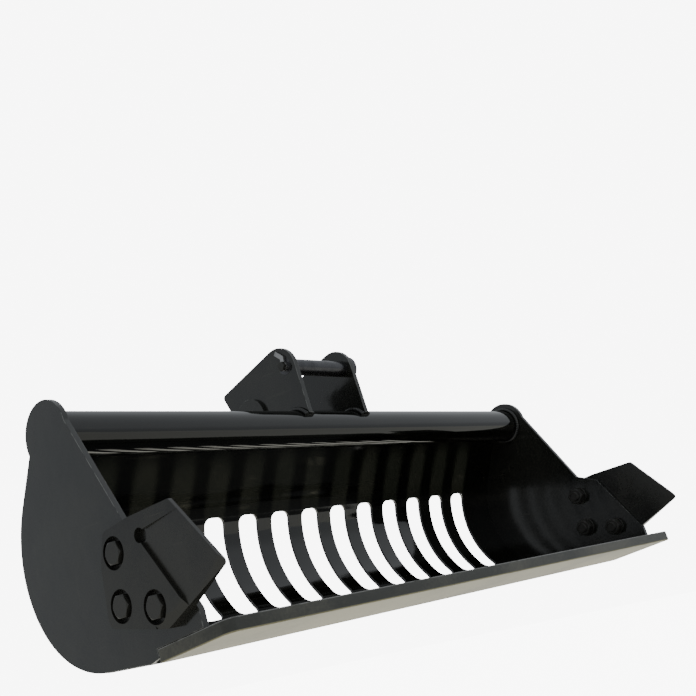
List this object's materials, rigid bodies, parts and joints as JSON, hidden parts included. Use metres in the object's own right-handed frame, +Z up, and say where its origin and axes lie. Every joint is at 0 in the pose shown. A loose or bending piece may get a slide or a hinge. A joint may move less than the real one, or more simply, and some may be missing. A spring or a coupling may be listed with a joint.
{
  "type": "screening bucket",
  "caption": "Slotted screening bucket for a small excavator, with a cutting edge, bolted side cutters and a two-pin hitch between welded ears.",
  "frame": {"origin": "on the ground, under the middle of the bounding box", "axes": "+X along the width towards the pins' heads, -Y towards the mouth, +Z up"},
  "size_m": [1.034, 0.4292, 0.4125],
  "materials": {
    "satin_black": "satin black paint",
    "gloss_black": "gloss black paint",
    "cutter_paint": "satin black paint with worn edges",
    "worn_steel": "bare worn steel below, worn dark paint in front",
    "pin_steel": "blackened steel, lightly oiled",
    "bright_steel": "bright zinc-plated steel",
    "dark_steel": "black fastener, satin"
  },
  "bodies": {
    "bucket": {"left_end_plate": "satin_black", "right_end_plate": "satin_black", "top_tube": "gloss_black", "left_tube_weld": "gloss_black", "right_tube_weld": "gloss_black", "slotted_shell": "gloss_black", "cutting_edge": "worn_steel", "cutting_edge_weld": "gloss_black", "left_foot_weld": "gloss_black", "right_foot_weld": "gloss_black", "left_ear": "satin_black", "right_ear": "satin_black", "left_ear_welds": "gloss_black", "right_ear_welds": "gloss_black", "left_rear_boss": "satin_black", "right_rear_boss": "satin_black", "front_lock_tab": "bright_steel", "front_tab_bolt": "dark_steel", "rear_lock_tab": "bright_steel", "rear_tab_bolt": "dark_steel", "left_side_cutter": "cutter_paint", "left_cutter_bolts": "dark_steel", "left_cutter_washers": "dark_steel", "left_cutter_nuts": "dark_steel", "right_side_cutter": "cutter_paint", "right_cutter_bolts": "dark_steel", "right_cutter_washers": "dark_steel", "right_cutter_nuts": "dark_steel"},
    "front_pin": {"front_pin": "pin_steel"},
    "rear_pin": {"rear_pin": "pin_steel"}
  },
  "joints": [
    {"name": "front_pin_slide", "type": "slide", "parent": "bucket", "child": "front_pin", "axis": [1, 0, 0], "range_m": [0, 0.28]},
    {"name": "rear_pin_slide", "type": "slide", "parent": "bucket", "child": "rear_pin", "axis": [1, 0, 0], "range_m": [0, 0.28]}
  ]
}
